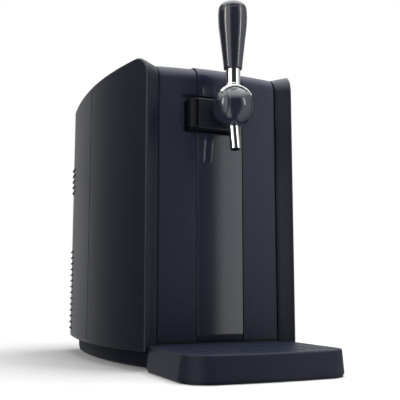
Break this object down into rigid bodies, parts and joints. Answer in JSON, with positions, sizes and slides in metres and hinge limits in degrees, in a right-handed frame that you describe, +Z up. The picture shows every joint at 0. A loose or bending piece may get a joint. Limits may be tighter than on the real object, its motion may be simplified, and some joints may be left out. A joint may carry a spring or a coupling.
{
  "type": "mini keg beer dispenser",
  "caption": "Countertop beer dispenser: cooled keg chamber behind a swinging door, lever tap on the door, and a sliding drip tray in front.",
  "frame": {"origin": "on the table under the middle of the bounding box", "axes": "+Z up, +X to the right seen from the front, -Y towards the user"},
  "size_m": [0.26, 0.4972, 0.4571],
  "materials": {
    "casing": "satin dark navy moulding",
    "gloss_navy": "polished dark navy moulding",
    "black_plastic": "plain black moulding",
    "chrome": "polished plating",
    "steel": "plain steel",
    "aluminium": "plain aluminium",
    "ceramic": "white ceramic",
    "foam": "expanded foam",
    "rubber": "black rubber",
    "board": "circuit board"
  },
  "bodies": {
    "case": {"side_shell_right": "casing", "side_shell_left": "casing", "rear_cover": "casing", "top_cover": "casing", "base_pan": "black_plastic", "foot_front_left": "rubber", "foot_front_right": "rubber", "foot_rear_left": "rubber", "foot_rear_right": "rubber", "front_frame": "casing", "door_gasket": "rubber", "hinge_arm": "steel", "hinge_pin_top": "steel", "hinge_pin_bottom": "steel", "latch_plate": "steel", "chamber_liner": "aluminium", "foam_jacket": "foam", "keg_cradle": "black_plastic", "air_coupler": "black_plastic", "cold_plate": "aluminium", "peltier_module": "ceramic", "heat_sink": "aluminium", "fan_frame": "black_plastic", "power_supply": "board", "control_board": "board", "air_pump": "black_plastic", "air_hose": "rubber", "power_inlet": "black_plastic", "switch_bezel": "black_plastic"},
    "door": {"door_wing_right": "casing", "door_wing_left": "casing", "column_panel": "gloss_navy", "column_crown": "gloss_navy", "display_window": "gloss_navy", "door_core": "black_plastic", "display_module": "board", "door_magnet": "steel", "tap_block": "black_plastic", "tap_body": "gloss_navy", "pivot_pin": "steel", "spout": "chrome"},
    "lever": {"lever_cap_right": "gloss_navy", "lever_cap_left": "gloss_navy", "lever_yoke": "chrome"},
    "handle": {"handle_grip": "gloss_navy", "handle_cap": "gloss_navy", "handle_magnet": "steel"},
    "tray": {"tray_tub": "casing"},
    "grid": {"drip_grid": "casing"},
    "fan": {"fan_rotor": "black_plastic"},
    "rocker": {"power_switch": "black_plastic"}
  },
  "joints": [
    {"name": "door_hinge", "type": "hinge", "parent": "case", "child": "door", "pos_m": [-0.0745, -0.09495, 0.2], "axis": [0, 0, -1], "range_deg": [0, 90]},
    {"name": "tap_lever", "type": "hinge", "parent": "door", "child": "lever", "pos_m": [0, -0.14265, 0.3202], "axis": [1, 0, 0], "range_deg": [0, 40]},
    {"name": "handle_lift", "type": "slide", "parent": "lever", "child": "handle", "axis": [0, 0, 1], "range_m": [0, 0.03]},
    {"name": "drip_tray_slide", "type": "slide", "parent": "case", "child": "tray", "axis": [0, -1, 0], "range_m": [0, 0.14]},
    {"name": "drip_grid_lift", "type": "slide", "parent": "tray", "child": "grid", "axis": [0, 0, 1], "range_m": [0, 0.03]},
    {"name": "fan_spin", "type": "hinge", "parent": "case", "child": "fan", "pos_m": [0, 0.1584, 0.205], "axis": [0, 1, 0], "continuous": true},
    {"name": "switch_rocker", "type": "hinge", "parent": "case", "child": "rocker", "pos_m": [0, 0.2394, 0.104], "axis": [-1, 0, 0], "range_deg": [0, 8]}
  ]
}
